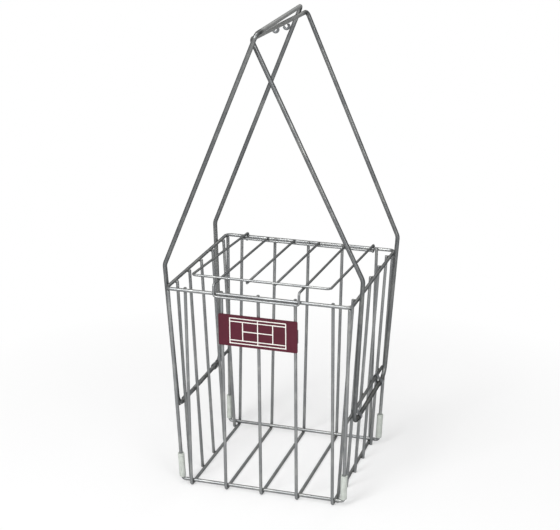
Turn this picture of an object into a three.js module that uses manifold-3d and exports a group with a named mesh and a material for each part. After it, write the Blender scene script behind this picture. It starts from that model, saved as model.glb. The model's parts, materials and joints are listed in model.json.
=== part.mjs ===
// Wire ball hopper with a hinged grille lid and two handles that swing down as legs.
// Millimetres, +Z up, the front faces -Y, the origin is on the floor under the middle.
import * as THREE from 'three';
import { mergeVertices } from 'three/addons/utils/BufferGeometryUtils.js';
import Module from 'manifold-3d';

// Wire diameters
const rimWire = 6.35;
const frameWire = 6.35;
const cageWire = 5.7;
const ribWire = 5.7;
const beltWire = 5.7;
const lidWire = 4.5;
const handleWire = 7.94;
const hookWire = 4.8;

// Fits
const seat = 0.3;
const hingePlay = 0.4;
const tubePlay = 0.25;

// Basket, on wire centre lines
const rimWidth = 335;
const rimDepth = 331;
const rimHeight = 390;
const rimCorner = 10;
const legOutsideCage = 19;
const baseDepth = 270;
const frameBend = 5;
const cageCount = 5;
const cagePitch = 67;
const cageAboveRim = 3;
const ribCount = 5;
const ribInsideLegs = 9;
const ribAboveRim = 2;
const ribAboveFloor = 0.8;
const beltHeight = 161;

// Handles
const pivotHeight = 150;
const handleInsideLegs = 15;
const crossbarCorner = 25;
const crankAboveRim = 36;
const crankHalf = 134;
const crankBend = 20;
const gripHeight = 850;
const gripHalf = 130;
const gripCorner = 9;
const handleStagger = 9;

// Grip bars. The sprung wires lean to the left, and the right bar lies under the left one.
const leftFrontDrop = 9;
const rightRearDrop = 13;
const rightFrontDrop = 21.5;
const leftRearLean = 8;
const leftFrontLean = 9.5;
const rightFrontLean = 24;

// Pivot clips, straps round a crossbar and its belt wire
const clipInsideBend = 11;
const clipWidth = 10;
const clipThickness = 1.5;

// Catch hooks under the right grip bar, placed from its middle and turned to its left
const hookRadius = 4.8;
const hookTurn = 250;
const frontHookPlace = -1;
const rearHookPlace = 42;
const frontHookHang = 45;
const rearHookHang = 25;

// Sleeves on the corner legs
const sleeveWall = 2.35;
const sleeveLength = 48;

// Lid
const lidInsideCage = 8.5;
const lidSetback = 18.5;
const lidRise = 17;
const lidCorner = 8;
const lidCrossReach = 22;
const lidOverhang = 4;
const lidInnerPlace = 24.5;
const latchPlace = 77;
const latchBend = 5;
const lipBelowRim = 3.5;
const hookWrap = 235;

// Sign plate
const signBesideWire = 5;
const signHeight = 59;
const signThickness = 2.5;
const signCorner = 2.5;
const signBelowRim = 37;
const signGrip = 24;
const signGripWall = 1.6;
const signGripDepth = 1.4;

// Steps of the round shapes
const wireSides = 8;
const bendStep = 18;
const sleeveSides = 16;
const cornerSteps = 4;

const quarterTurn = Math.PI / 2;
const halfTurn = Math.PI;
const halfTurnDegrees = 180;
const radians = (degrees) => (degrees * halfTurn) / halfTurnDegrees;
const point = (x, y, z) => new THREE.Vector3(x, y, z);

// An eight-sided section with the area of the round wire: out to its corners and out to its flats.
const areaShare = Math.sqrt((2 * halfTurn) / (wireSides * Math.sin((2 * halfTurn) / wireSides)));
const out = (diameter) => (diameter / 2) * areaShare;
const flat = (diameter) => out(diameter) * Math.cos(halfTurn / wireSides);

const steel = new THREE.MeshStandardMaterial({ color: 0x6d7072, roughness: 0.45, metalness: 0.8 });
const bright = new THREE.MeshStandardMaterial({ color: 0x85888a, roughness: 0.35, metalness: 0.9 });
const plastic = new THREE.MeshStandardMaterial({ color: 0xc8ccc9, roughness: 0.5, metalness: 0 });
const maroon = new THREE.MeshStandardMaterial({ color: 0x6e2d41, roughness: 0.45, metalness: 0 });

const hopper = new THREE.Group();

function place(name, geometry, material) {
  const mesh = new THREE.Mesh(geometry, material);
  mesh.name = name;
  hopper.add(mesh);
  return mesh;
}

// A polyline with its corners turned into arcs. Each corner is { at, bend }.
function rounded(corners, closed) {
  const points = [];
  const count = corners.length;
  corners.forEach(({ at, bend }, index) => {
    const isEnd = !closed && (index === 0 || index === count - 1);
    if (isEnd || !bend) {
      points.push(at.clone());
      return;
    }
    const before = corners[(index + count - 1) % count].at.clone().sub(at).normalize();
    const after = corners[(index + 1) % count].at.clone().sub(at).normalize();
    const turn = halfTurn - before.angleTo(after);
    const middle = before.clone().add(after).normalize();
    const centre = at.clone().addScaledVector(middle, bend / Math.cos(turn / 2));
    const start = at.clone().addScaledVector(before, bend * Math.tan(turn / 2)).sub(centre);
    const axis = after.clone().cross(before).normalize();
    const steps = Math.max(2, Math.ceil(turn / radians(bendStep)));
    for (let step = 0; step <= steps; step += 1) {
      const arm = start.clone().applyAxisAngle(axis, (turn * step) / steps);
      points.push(centre.clone().add(arm));
    }
  });
  return points;
}

// A wire of one diameter along the points, as one closed mesh without twist.
function wire(points, diameter, side, closed = false) {
  const count = points.length;
  const radius = out(diameter);
  const positions = [];
  const normal = side.clone();
  points.forEach((here, index) => {
    const next = points[closed ? (index + 1) % count : Math.min(index + 1, count - 1)];
    const last = points[closed ? (index + count - 1) % count : Math.max(index - 1, 0)];
    const ahead = next.clone().sub(index === count - 1 && !closed ? last : here).normalize();
    const behind = here.clone().sub(index === 0 && !closed ? here.clone().sub(ahead) : last).normalize();
    const tangent = ahead.clone().add(behind).normalize();
    normal.addScaledVector(tangent, -normal.dot(tangent)).normalize();
    const binormal = tangent.clone().cross(normal);
    // In a bend the ring is stretched across its plane, so that the wire keeps its diameter.
    const across = tangent.clone().cross(behind.clone().cross(ahead)).normalize();
    const stretch = 1 / tangent.dot(ahead) - 1;
    for (let corner = 0; corner < wireSides; corner += 1) {
      const angle = ((corner + 1 / 2) * 2 * halfTurn) / wireSides;
      const arm = normal.clone().multiplyScalar(radius * Math.cos(angle));
      arm.addScaledVector(binormal, radius * Math.sin(angle));
      arm.addScaledVector(across, stretch * arm.dot(across));
      positions.push(here.x + arm.x, here.y + arm.y, here.z + arm.z);
    }
  });
  const faces = [];
  const spans = closed ? count : count - 1;
  for (let span = 0; span < spans; span += 1) {
    const here = span * wireSides;
    const next = ((span + 1) % count) * wireSides;
    for (let corner = 0; corner < wireSides; corner += 1) {
      const beside = (corner + 1) % wireSides;
      faces.push(here + corner, here + beside, next + beside);
      faces.push(here + corner, next + beside, next + corner);
    }
  }
  const lastRing = (count - 1) * wireSides;
  for (let corner = 1; !closed && corner < wireSides - 1; corner += 1) {
    faces.push(0, corner + 1, corner);
    faces.push(lastRing, lastRing + corner, lastRing + corner + 1);
  }
  const geometry = new THREE.BufferGeometry();
  geometry.setAttribute('position', new THREE.Float32BufferAttribute(positions, 3));
  geometry.setIndex(faces);
  geometry.computeVertexNormals();
  return geometry;
}

const sideways = point(1, 0, 0);
const upright = point(0, 0, 1);

// Heights and places that follow from the driving sizes
const floorLevel = flat(cageWire);
const wrapBend = out(cageWire) + seat + out(frameWire);
const crossLevel = floorLevel + wrapBend;
const outerCage = (cagePitch * (cageCount - 1)) / 2;
const cornerInset = rimCorner * (1 - Math.cos(quarterTurn / 2));
const legTop = point(rimWidth / 2 - cornerInset, rimDepth / 2 - cornerInset,
  rimHeight - out(rimWire) - 2 * seat);
const legFoot = point(outerCage + legOutsideCage, baseDepth / 2, crossLevel);

// The rim hoop
const rimCorners = [[-1, -1], [1, -1], [1, 1], [-1, 1]].map(([across, along]) => ({
  at: point((across * rimWidth) / 2, (along * rimDepth) / 2, rimHeight),
  bend: rimCorner,
}));
place('top_rim', wire(rounded(rimCorners, true), rimWire, upright, true), steel);

// Front and back frames: two corner legs and the cross wire that joins their feet
for (const [name, along] of [['front', -1], ['back', 1]]) {
  const corners = [
    { at: point(-legTop.x, along * legTop.y, legTop.z) },
    { at: point(-legFoot.x, along * legFoot.y, legFoot.z), bend: frameBend },
    { at: point(legFoot.x, along * legFoot.y, legFoot.z), bend: frameBend },
    { at: point(legTop.x, along * legTop.y, legTop.z) },
  ];
  place(`${name}_frame_wire`, wire(rounded(corners), frameWire, upright), steel);
}

// Cage wires hang inside the rim and wrap under both cross wires.
const cageTop = {
  y: rimDepth / 2 - out(rimWire) - seat - out(cageWire),
  z: rimHeight + cageAboveRim,
};

// Where the line from the top, laid against a circle round the cross wire, meets the floor line
function wrapFoot() {
  const rise = cageTop.z - crossLevel;
  const run = cageTop.y - baseDepth / 2;
  const lean = Math.atan2(run, rise) - Math.asin(wrapBend / Math.hypot(run, rise));
  return { y: cageTop.y - (cageTop.z - floorLevel) * Math.tan(lean), lean };
}
const cageFoot = wrapFoot();
for (let index = 0; index < cageCount; index += 1) {
  const x = index * cagePitch - outerCage;
  const corners = [
    { at: point(x, -cageTop.y, cageTop.z) },
    { at: point(x, -cageFoot.y, floorLevel), bend: wrapBend },
    { at: point(x, cageFoot.y, floorLevel), bend: wrapBend },
    { at: point(x, cageTop.y, cageTop.z) },
  ];
  place(`cage_wire_${index + 1}`, wire(rounded(corners), cageWire, sideways), steel);
}

// Side ribs stand on the outsides of the outermost floor wires and end inside the rim.
const ribTop = {
  x: rimWidth / 2 - out(rimWire) - seat - out(ribWire),
  z: rimHeight + ribAboveRim,
};
const ribFoot = { x: outerCage + out(cageWire) + seat + out(ribWire), z: ribAboveFloor };
const ribPitch = (baseDepth - 2 * ribInsideLegs) / (ribCount - 1);
const ribAcross = (height) => THREE.MathUtils.mapLinear(height, ribFoot.z, ribTop.z, ribFoot.x, ribTop.x);
const legAlong = (height) => THREE.MathUtils.mapLinear(height, legFoot.z, legTop.z, legFoot.y, legTop.y);
const beltAcross = ribAcross(beltHeight) + out(ribWire) + seat + out(beltWire);
const beltHalf = legAlong(beltHeight) - out(frameWire) - seat;
const sides = [['left', -1], ['right', 1]];
for (const [name, across] of sides) {
  for (let index = 0; index < ribCount; index += 1) {
    const y = (index - (ribCount - 1) / 2) * ribPitch;
    const ends = [point(across * ribFoot.x, y, ribFoot.z), point(across * ribTop.x, y, ribTop.z)];
    place(`${name}_rib_${index + 1}`, wire(ends, ribWire, sideways), steel);
  }
  const beltEnds = [-1, 1].map((along) => point(across * beltAcross, along * beltHalf, beltHeight));
  place(`${name}_belt_wire`, wire(beltEnds, beltWire, upright), steel);
}

// A closed outline round two circles, in x and height
function roundTwo(first, second, margin) {
  const span = Math.hypot(second.x - first.x, second.z - first.z);
  const heading = Math.atan2(second.z - first.z, second.x - first.x);
  const spread = Math.acos((first.r - second.r) / span);
  const outline = [];
  const arc = (circle, from, to) => {
    const steps = Math.ceil((to - from) / (2 * radians(bendStep)));
    for (let step = 0; step <= steps; step += 1) {
      const angle = from + ((to - from) * step) / steps;
      const reach = (circle.r + margin) / Math.cos((to - from) / (2 * steps));
      outline.push(new THREE.Vector2(circle.x + reach * Math.cos(angle), circle.z + reach * Math.sin(angle)));
    }
  };
  arc(second, heading - spread, heading + spread);
  arc(first, heading + spread, heading + 2 * halfTurn - spread);
  return outline;
}

// Pivot clips: a strap round the belt wire and the crossbar, which turns in it
const crossbarAcross = beltAcross + out(beltWire) + hingePlay + out(handleWire);
const crossbarHalf = legAlong(pivotHeight) - handleStagger - out(frameWire) - handleInsideLegs;
const clipOffset = crossbarHalf - crossbarCorner - clipInsideBend;
for (const [name, across] of sides) {
  const belt = { x: across * beltAcross, z: beltHeight, r: out(beltWire) + tubePlay };
  const crossbar = { x: across * crossbarAcross, z: pivotHeight, r: out(handleWire) + hingePlay };
  for (const [end, along] of [['front', -1], ['back', 1]]) {
    const strap = new THREE.Shape(roundTwo(belt, crossbar, clipThickness));
    strap.holes.push(new THREE.Path(roundTwo(belt, crossbar, 0)));
    const geometry = new THREE.ExtrudeGeometry(strap, { depth: clipWidth, bevelEnabled: false });
    const clip = place(`${name}_pivot_clip_${end}`, geometry, bright);
    clip.rotation.x = quarterTurn;
    clip.position.y = across * handleStagger + along * clipOffset + clipWidth / 2;
  }
}

// Sleeves: plastic tubes on the straight lower stretch of the corner legs
const legLength = legTop.distanceTo(legFoot);
const legLean = legTop.clone().sub(legFoot).normalize();
const sleeveBore = out(frameWire) + tubePlay;
const sleeveStart = legFoot.clone().addScaledVector(legLean, frameBend + seat);
for (const [end, along] of [['front', -1], ['back', 1]]) {
  for (const [name, across] of sides) {
    const section = new THREE.Shape();
    section.absarc(0, 0, sleeveBore + sleeveWall, 0, 2 * halfTurn);
    const bore = new THREE.Path();
    bore.absarc(0, 0, sleeveBore, 0, 2 * halfTurn, true);
    section.holes.push(bore);
    const solid = { depth: sleeveLength, bevelEnabled: false, curveSegments: sleeveSides };
    const sleeve = place(`${end}_${name}_sleeve`, new THREE.ExtrudeGeometry(section, solid), plastic);
    const lean = legLean.clone().multiply(point(across, along, 1));
    sleeve.quaternion.setFromUnitVectors(upright, lean);
    sleeve.position.copy(sleeveStart).multiply(point(across, along, 1));
  }
}

// Handles: the crossbar turns in the clips, the legs crank inwards above the rim to the grip bar.
const crankHeight = rimHeight + crankAboveRim;
const crankAcross = THREE.MathUtils.mapLinear(crankHeight, pivotHeight, rimHeight,
  crossbarAcross, rimWidth / 2 + out(rimWire) + hingePlay + out(handleWire));

// The right bar passes the left rear leg on its right side.
const legTilt = Math.atan2(crankAcross - leftRearLean, gripHeight - crankHeight);
const passAcross = (2 * out(handleWire) + hingePlay) / Math.cos(legTilt)
  - leftRearLean - rightRearDrop * Math.tan(legTilt);
const staggerShare = handleStagger / gripHalf;
const rightRearAcross = (passAcross + staggerShare * rightFrontLean) / (1 - staggerShare);
const grips = {
  left: {
    front: point(-leftFrontLean, -gripHalf - handleStagger, gripHeight - leftFrontDrop),
    rear: point(-leftRearLean, gripHalf - handleStagger, gripHeight),
  },
  right: {
    front: point(-rightFrontLean, -gripHalf + handleStagger, gripHeight - rightFrontDrop),
    rear: point(rightRearAcross, gripHalf + handleStagger, gripHeight - rightRearDrop),
  },
};
for (const [name, across] of sides) {
  const middle = across * handleStagger;
  const leg = (along, grip) => [
    { at: point(across * crossbarAcross, middle + along * crossbarHalf, pivotHeight), bend: crossbarCorner },
    { at: point(across * crankAcross, middle + along * crankHalf, crankHeight), bend: crankBend },
    { at: grip, bend: gripCorner },
  ];
  const { front, rear } = grips[name];
  const loop = rounded([...leg(1, rear), ...leg(-1, front).reverse()], true);
  place(`${name}_handle`, wire(loop, handleWire, sideways, true), steel);
}

// Catch hooks: curls under the right grip bar, both open to its left
const hooks = [['front', frontHookPlace, frontHookHang], ['rear', rearHookPlace, rearHookHang]];
for (const [name, along, hang] of hooks) {
  const { front, rear } = grips.right;
  const centre = front.clone().lerp(rear, (gripHalf + along) / (2 * gripHalf));
  const reach = out(handleWire) + seat + out(hookWire) + hookRadius;
  centre.add(point(-Math.sin(radians(hang)), 0, -Math.cos(radians(hang))).multiplyScalar(reach));
  const steps = Math.ceil(hookTurn / (2 * bendStep));
  const curl = [];
  for (let step = 0; step <= steps; step += 1) {
    const angle = radians(hang + (hookTurn * step) / steps);
    curl.push(point(hookRadius * Math.sin(angle), 0, hookRadius * Math.cos(angle)).add(centre));
  }
  place(`${name}_catch_hook`, wire(curl, hookWire, point(0, 1, 0)), bright);
}

// Lid: a plane that hinges on the rear rim wire and rises a little to the front
const lidHalf = outerCage - lidInsideCage;
const lidReach = rimDepth - lidSetback;
const lidAngle = Math.asin(lidRise / lidReach);
const hingeAlong = rimDepth / 2;
const lidLevel = out(rimWire) + hingePlay + out(lidWire);
const lidStack = 2 * out(lidWire) + seat;
const onLid = (x, reach, level) => point(x,
  hingeAlong - reach * Math.cos(lidAngle) + level * Math.sin(lidAngle),
  rimHeight + reach * Math.sin(lidAngle) + level * Math.cos(lidAngle));

// The hook of one side, from its free end to the top of the rim wire
function hingeHook(x) {
  const steps = Math.ceil(hookWrap / bendStep);
  const hook = [];
  for (let step = 0; step <= steps; step += 1) {
    const angle = radians(hookWrap * (1 - step / steps));
    hook.push(onLid(x, -lidLevel * Math.sin(angle), lidLevel * Math.cos(angle)));
  }
  return hook;
}
const lidCorners = [-lidHalf, lidHalf].map((x) => ({ at: onLid(x, lidReach, lidLevel), bend: lidCorner }));
const lidPath = rounded([
  ...hingeHook(-lidHalf).map((at) => ({ at })),
  ...lidCorners,
  ...hingeHook(lidHalf).reverse().map((at) => ({ at })),
]);
place('lid_frame_wire', wire(lidPath, lidWire, sideways), steel);

// The rear cross wire lies under the sides, the inner wires on it and under the front edge.
const crossEnds = [-1, 1].map((across) => onLid(across * (lidHalf + out(lidWire)), lidCrossReach,
  lidLevel - lidStack));
place('lid_cross_wire', wire(crossEnds, lidWire, upright), steel);
const innerLevel = (reach) => THREE.MathUtils.mapLinear(reach, lidCrossReach, lidReach,
  lidLevel, lidLevel - lidStack);
const onInner = (x, reach) => onLid(x, reach, innerLevel(reach));
for (const [name, across] of sides) {
  const x = across * lidInnerPlace;
  const ends = [onInner(x, lidCrossReach - lidOverhang), onInner(x, lidReach)];
  place(`lid_inner_wire_${name}`, wire(ends, lidWire, sideways), steel);
}

// The latch wire runs past the front edge, drops in front of the rim and joins below it in a lip.
const lipAlong = -(rimDepth / 2 + out(rimWire) + hingePlay + out(lidWire));
function latchSide(x) {
  const rear = onInner(x, lidCrossReach - lidOverhang);
  const edge = onInner(x, lidReach);
  const share = (lipAlong - rear.y) / (edge.y - rear.y);
  const knee = rear.clone().lerp(edge, share);
  const lip = point(x, lipAlong, rimHeight - lipBelowRim);
  return [{ at: rear }, { at: knee, bend: latchBend }, { at: lip, bend: latchBend }];
}
const latchCorners = [...latchSide(-latchPlace), ...latchSide(latchPlace).reverse()];
place('lid_latch_wire', wire(rounded(latchCorners), lidWire, sideways), steel);

// Sign plate with four snap walls at its back, two round each of two cage wires
const signWidth = 2 * (cagePitch + signBesideWire);
const signMiddle = rimHeight - signBelowRim - signHeight / 2;
const wasm = await Module();
wasm.setup();
function toSolid(geometry) {
  const bare = geometry.clone();
  bare.deleteAttribute('normal');
  bare.deleteAttribute('uv');
  const merged = mergeVertices(bare);
  const vertProperties = new Float32Array(merged.attributes.position.array);
  const triVerts = new Uint32Array(merged.index.array);
  return new wasm.Manifold(new wasm.Mesh({ numProp: 3, vertProperties, triVerts }));
}
function toGeometry(solid) {
  const { vertProperties, triVerts } = solid.getMesh();
  const geometry = new THREE.BufferGeometry();
  geometry.setAttribute('position', new THREE.BufferAttribute(vertProperties, 3));
  geometry.setIndex(new THREE.BufferAttribute(triVerts, 1));
  geometry.computeVertexNormals();
  return geometry;
}
function signShape() {
  const [w, h, r] = [signWidth / 2, signHeight / 2, signCorner];
  const shape = new THREE.Shape();
  shape.moveTo(w, h - r);
  shape.absarc(w - r, h - r, r, 0, quarterTurn);
  shape.absarc(r - w, h - r, r, quarterTurn, 2 * quarterTurn);
  shape.absarc(r - w, r - h, r, 2 * quarterTurn, 3 * quarterTurn);
  shape.absarc(w - r, r - h, r, 3 * quarterTurn, 4 * quarterTurn);
  return shape;
}
const signSeat = out(cageWire) + seat;
const plate = new THREE.ExtrudeGeometry(signShape(),
  { depth: signThickness, bevelEnabled: false, curveSegments: cornerSteps });
plate.rotateX(quarterTurn);
plate.translate(0, -signSeat, 0);
let sign = toSolid(plate);
const gripReach = signThickness / 2 + signSeat + signGripDepth;
for (const across of [-1, 1]) {
  for (const inward of [-1, 1]) {
    const wall = new THREE.BoxGeometry(signGripWall, gripReach, signGrip);
    const x = across * cagePitch + inward * (signSeat + signGripWall / 2);
    wall.translate(x, signGripDepth - gripReach / 2, 0);
    sign = sign.add(toSolid(wall));
  }
}
const signMesh = place('sign_plate', toGeometry(sign), maroon);
signMesh.rotation.x = cageFoot.lean;
signMesh.position.set(0, -(cageTop.y - (cageTop.z - signMiddle) * Math.tan(cageFoot.lean)), signMiddle);

export default hopper;
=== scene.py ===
# %% [markdown]
# # A wire ball hopper
# This court basket is bent and welded from steel wire. It has a grille lid, two tall handles that
# swing down as legs, four plastic sleeves at its feet and a sign plate on its front. The packed
# model holds every piece at its real size, but its wires are eight-sided bars, which are quick to
# test for motion. This lesson makes what is seen: round wires with their welds, and the finish of
# each surface. A finished piece replaces its bar and rides on the same body, so it moves with it.

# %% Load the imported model
import json
import math

import bmesh
import bpy
from mathutils import Matrix, Quaternion, Vector

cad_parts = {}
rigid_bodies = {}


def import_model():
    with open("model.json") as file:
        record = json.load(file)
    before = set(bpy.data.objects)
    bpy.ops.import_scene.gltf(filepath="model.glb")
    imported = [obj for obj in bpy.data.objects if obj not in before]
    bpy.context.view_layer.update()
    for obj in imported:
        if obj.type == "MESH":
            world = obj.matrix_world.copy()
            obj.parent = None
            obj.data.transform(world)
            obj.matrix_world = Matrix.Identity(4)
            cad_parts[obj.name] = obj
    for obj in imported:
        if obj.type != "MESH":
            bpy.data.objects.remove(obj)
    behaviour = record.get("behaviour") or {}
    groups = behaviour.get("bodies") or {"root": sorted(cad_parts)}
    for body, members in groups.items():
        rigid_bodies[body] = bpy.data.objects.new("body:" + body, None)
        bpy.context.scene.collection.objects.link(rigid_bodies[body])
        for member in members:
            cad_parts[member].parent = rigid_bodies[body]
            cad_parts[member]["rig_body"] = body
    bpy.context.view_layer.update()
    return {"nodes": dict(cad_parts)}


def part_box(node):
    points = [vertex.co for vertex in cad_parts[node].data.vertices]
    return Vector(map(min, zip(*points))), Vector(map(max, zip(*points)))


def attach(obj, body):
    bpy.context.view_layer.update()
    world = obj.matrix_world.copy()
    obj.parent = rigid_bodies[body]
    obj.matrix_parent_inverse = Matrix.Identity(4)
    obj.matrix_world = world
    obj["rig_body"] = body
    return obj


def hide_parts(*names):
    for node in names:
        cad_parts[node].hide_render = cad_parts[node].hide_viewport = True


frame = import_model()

# %% [markdown]
# ## The camera
# The photograph was taken from in front, a little to the right and above, with a long lens, so
# the basket narrows only slightly to the back. One way is to move a camera by eye until the
# picture fits. Here the place and the angles were worked out from the corners of the rim, the
# floor and the handles instead, because then every piece falls where the photograph has it.

# %% Place the camera
camera_place = Vector((0.7436, -2.4868, 1.2699))
camera_turn = 0.2938
camera_dip = 0.3244
camera_roll = 0.0052
lens_length = 96.74
sensor_width = 36

ahead = Vector((-math.sin(camera_turn) * math.cos(camera_dip),
                math.cos(camera_turn) * math.cos(camera_dip),
                -math.sin(camera_dip)))
level = Vector((math.cos(camera_turn), math.sin(camera_turn), 0))
above = level.cross(ahead)
right = level * math.cos(camera_roll) + above * math.sin(camera_roll)
up = above * math.cos(camera_roll) - level * math.sin(camera_roll)

camera = bpy.data.objects.new("camera", bpy.data.cameras.new("camera"))
camera.data.lens = lens_length
camera.data.sensor_width = sensor_width
axes = Matrix((right, up, -ahead)).transposed().to_4x4()
camera.matrix_world = Matrix.Translation(camera_place) @ axes
bpy.context.scene.collection.objects.link(camera)
bpy.context.scene.camera = camera
print("camera looks down by", round(math.degrees(camera_dip), 1), "degrees")

# %% [markdown]
# ## Sizes
# The finished wires have to lie exactly where their bars lie. The bars' centre lines could be
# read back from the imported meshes, but a mesh doesn't say which points are a bend. The route of
# each wire follows from a few sizes, so those sizes are given again here, in millimetres, and the
# routes are worked out from them. A bar has the section area of its round wire, so its corners
# lie a little further out than the wire's surface, and the places of neighbours count from there.

# %% The driving sizes
mm = 0.001

rim_wire = 6.35 * mm
frame_wire = 6.35 * mm
cage_wire = 5.7 * mm
rib_wire = 5.7 * mm
belt_wire = 5.7 * mm
lid_wire = 4.5 * mm
handle_wire = 7.94 * mm
hook_wire = 4.8 * mm

seat = 0.3 * mm
hinge_play = 0.4 * mm
tube_play = 0.25 * mm

rim_width = 335 * mm
rim_depth = 331 * mm
rim_height = 390 * mm
base_depth = 270 * mm
cage_count = 5
cage_pitch = 67 * mm

bar_sides = 8
area_share = math.sqrt(2 * math.pi / (bar_sides * math.sin(2 * math.pi / bar_sides)))


def out(diameter):
    """How far the corners of a wire's bar lie from its centre line."""
    return diameter / 2 * area_share


def flat(diameter):
    """How far the flats of a wire's bar lie from its centre line."""
    return out(diameter) * math.cos(math.pi / bar_sides)


bar_size = round(2 * out(cage_wire) / mm, 2)
print("a", round(cage_wire / mm, 2), "mm wire has a bar of", bar_size, "mm")

# %% [markdown]
# ## Bent wire, as points
# A bending machine turns straight wire into straight stretches joined by arcs. A curve with
# bevelled handles could stand for that, but its bends aren't true arcs. This helper takes the
# corners of a route, each with its bend radius, and returns points: two for a straight stretch
# and one every few degrees for a bend.

# %% Round the corners of a route
bend_step = math.radians(5)
fewest_steps = 3
X, Y, Z = Vector((1, 0, 0)), Vector((0, 1, 0)), Vector((0, 0, 1))


def fan(start, turn, steps):
    """Angles from a start through a turn, with both ends."""
    return [start + turn * step / steps for step in range(steps + 1)]


def rounded(corners, closed=False):
    """Turns a list of (corner, bend radius) into points along straight stretches and arcs."""
    points = []
    count = len(corners)
    for index, (at, bend) in enumerate(corners):
        is_end = not closed and index in (0, count - 1)
        if is_end or not bend:
            points.append(at.copy())
            continue
        before = (corners[index - 1][0] - at).normalized()
        after = (corners[(index + 1) % count][0] - at).normalized()
        turn = math.pi - before.angle(after)
        centre = at + (before + after).normalized() * (bend / math.cos(turn / 2))
        arm = at + before * (bend * math.tan(turn / 2)) - centre
        axis = after.cross(before).normalized()
        steps = max(fewest_steps, math.ceil(turn / bend_step))
        points += [centre + Quaternion(axis, angle) @ arm for angle in fan(0, turn, steps)]
    return points


# %% [markdown]
# ## Trees of nodes
# Geometry Nodes and shaders are both trees of nodes, and a tree that is built by a script is easy
# to read when each node is one line. This helper adds a node, sets its choices, and links or sets
# its inputs by name. A second one starts a tree with its named inputs and outputs, and the short
# ones stand for nodes that are used often.

# %% Helpers that build trees
node_spacing = 180


def add(tree, kind, inputs=None, **choices):
    """Adds a node to a tree. An input that is given a socket is linked, and others are set."""
    node = tree.nodes.new(kind)
    node.location.x = node_spacing * len(tree.nodes)
    for name, value in choices.items():
        setattr(node, name, value)
    for name, value in (inputs or {}).items():
        if isinstance(value, bpy.types.NodeSocket):
            tree.links.new(value, node.inputs[name])
        else:
            node.inputs[name].default_value = value
    return node


def new_tree(name, kind, inputs, outputs):
    """Starts a node group from {name: (socket type, value)} and {name: socket type}."""
    tree = bpy.data.node_groups.new(name, kind)
    for label, (socket, value) in inputs.items():
        made = tree.interface.new_socket(name=label, in_out="INPUT", socket_type=socket)
        if value is not None:
            made.default_value = value
    for label, socket in outputs.items():
        tree.interface.new_socket(name=label, in_out="OUTPUT", socket_type=socket)
    return tree, tree.nodes.new("NodeGroupInput").outputs


def maths(tree, operation, *values, clamp=False):
    """A Math node's result."""
    return add(tree, "ShaderNodeMath", dict(enumerate(values)),
               operation=operation, use_clamp=clamp).outputs[0]


def product(tree, first, *others):
    """Values multiplied one after another."""
    for other in others:
        first = maths(tree, "MULTIPLY", first, other)
    return first


def scaled(tree, vector, factor):
    """A vector times a value."""
    return add(tree, "ShaderNodeVectorMath", {0: vector, "Scale": factor},
               operation="SCALE").outputs[0]


def stored(tree, geometry, name, value, data_type="FLOAT_VECTOR"):
    """A geometry whose points carry a value under a name."""
    return add(tree, "GeometryNodeStoreNamedAttribute",
               {"Geometry": geometry, "Name": name, "Value": value},
               data_type=data_type, domain="POINT").outputs[0]


def recalled(tree, name, data_type="FLOAT_VECTOR"):
    """What points carry under a name."""
    return add(tree, "GeometryNodeInputNamedAttribute", {"Name": name},
               data_type=data_type).outputs["Attribute"]


# %% [markdown]
# ## The tree that draws a round wire
# A wire follows a path, so Geometry Nodes makes it: the path becomes a curve, and Curve to Mesh
# sweeps a circle along it. Drawn wire has fine lines along its length, and they bend with it. To
# have them follow, the tree stores each point's place in the straight wire, before it was bent,
# as an attribute that the material reads. Sheared ends are a little rounded, which the tree does
# by narrowing the circle close to an end. A hoop gets an end size of 1, which narrows nothing.

# %% Build the wire tree
wire_sides = 24
sheared_end = 0.72
end_rounding = 0.9 * mm
sharp_edge = math.radians(35)


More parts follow.
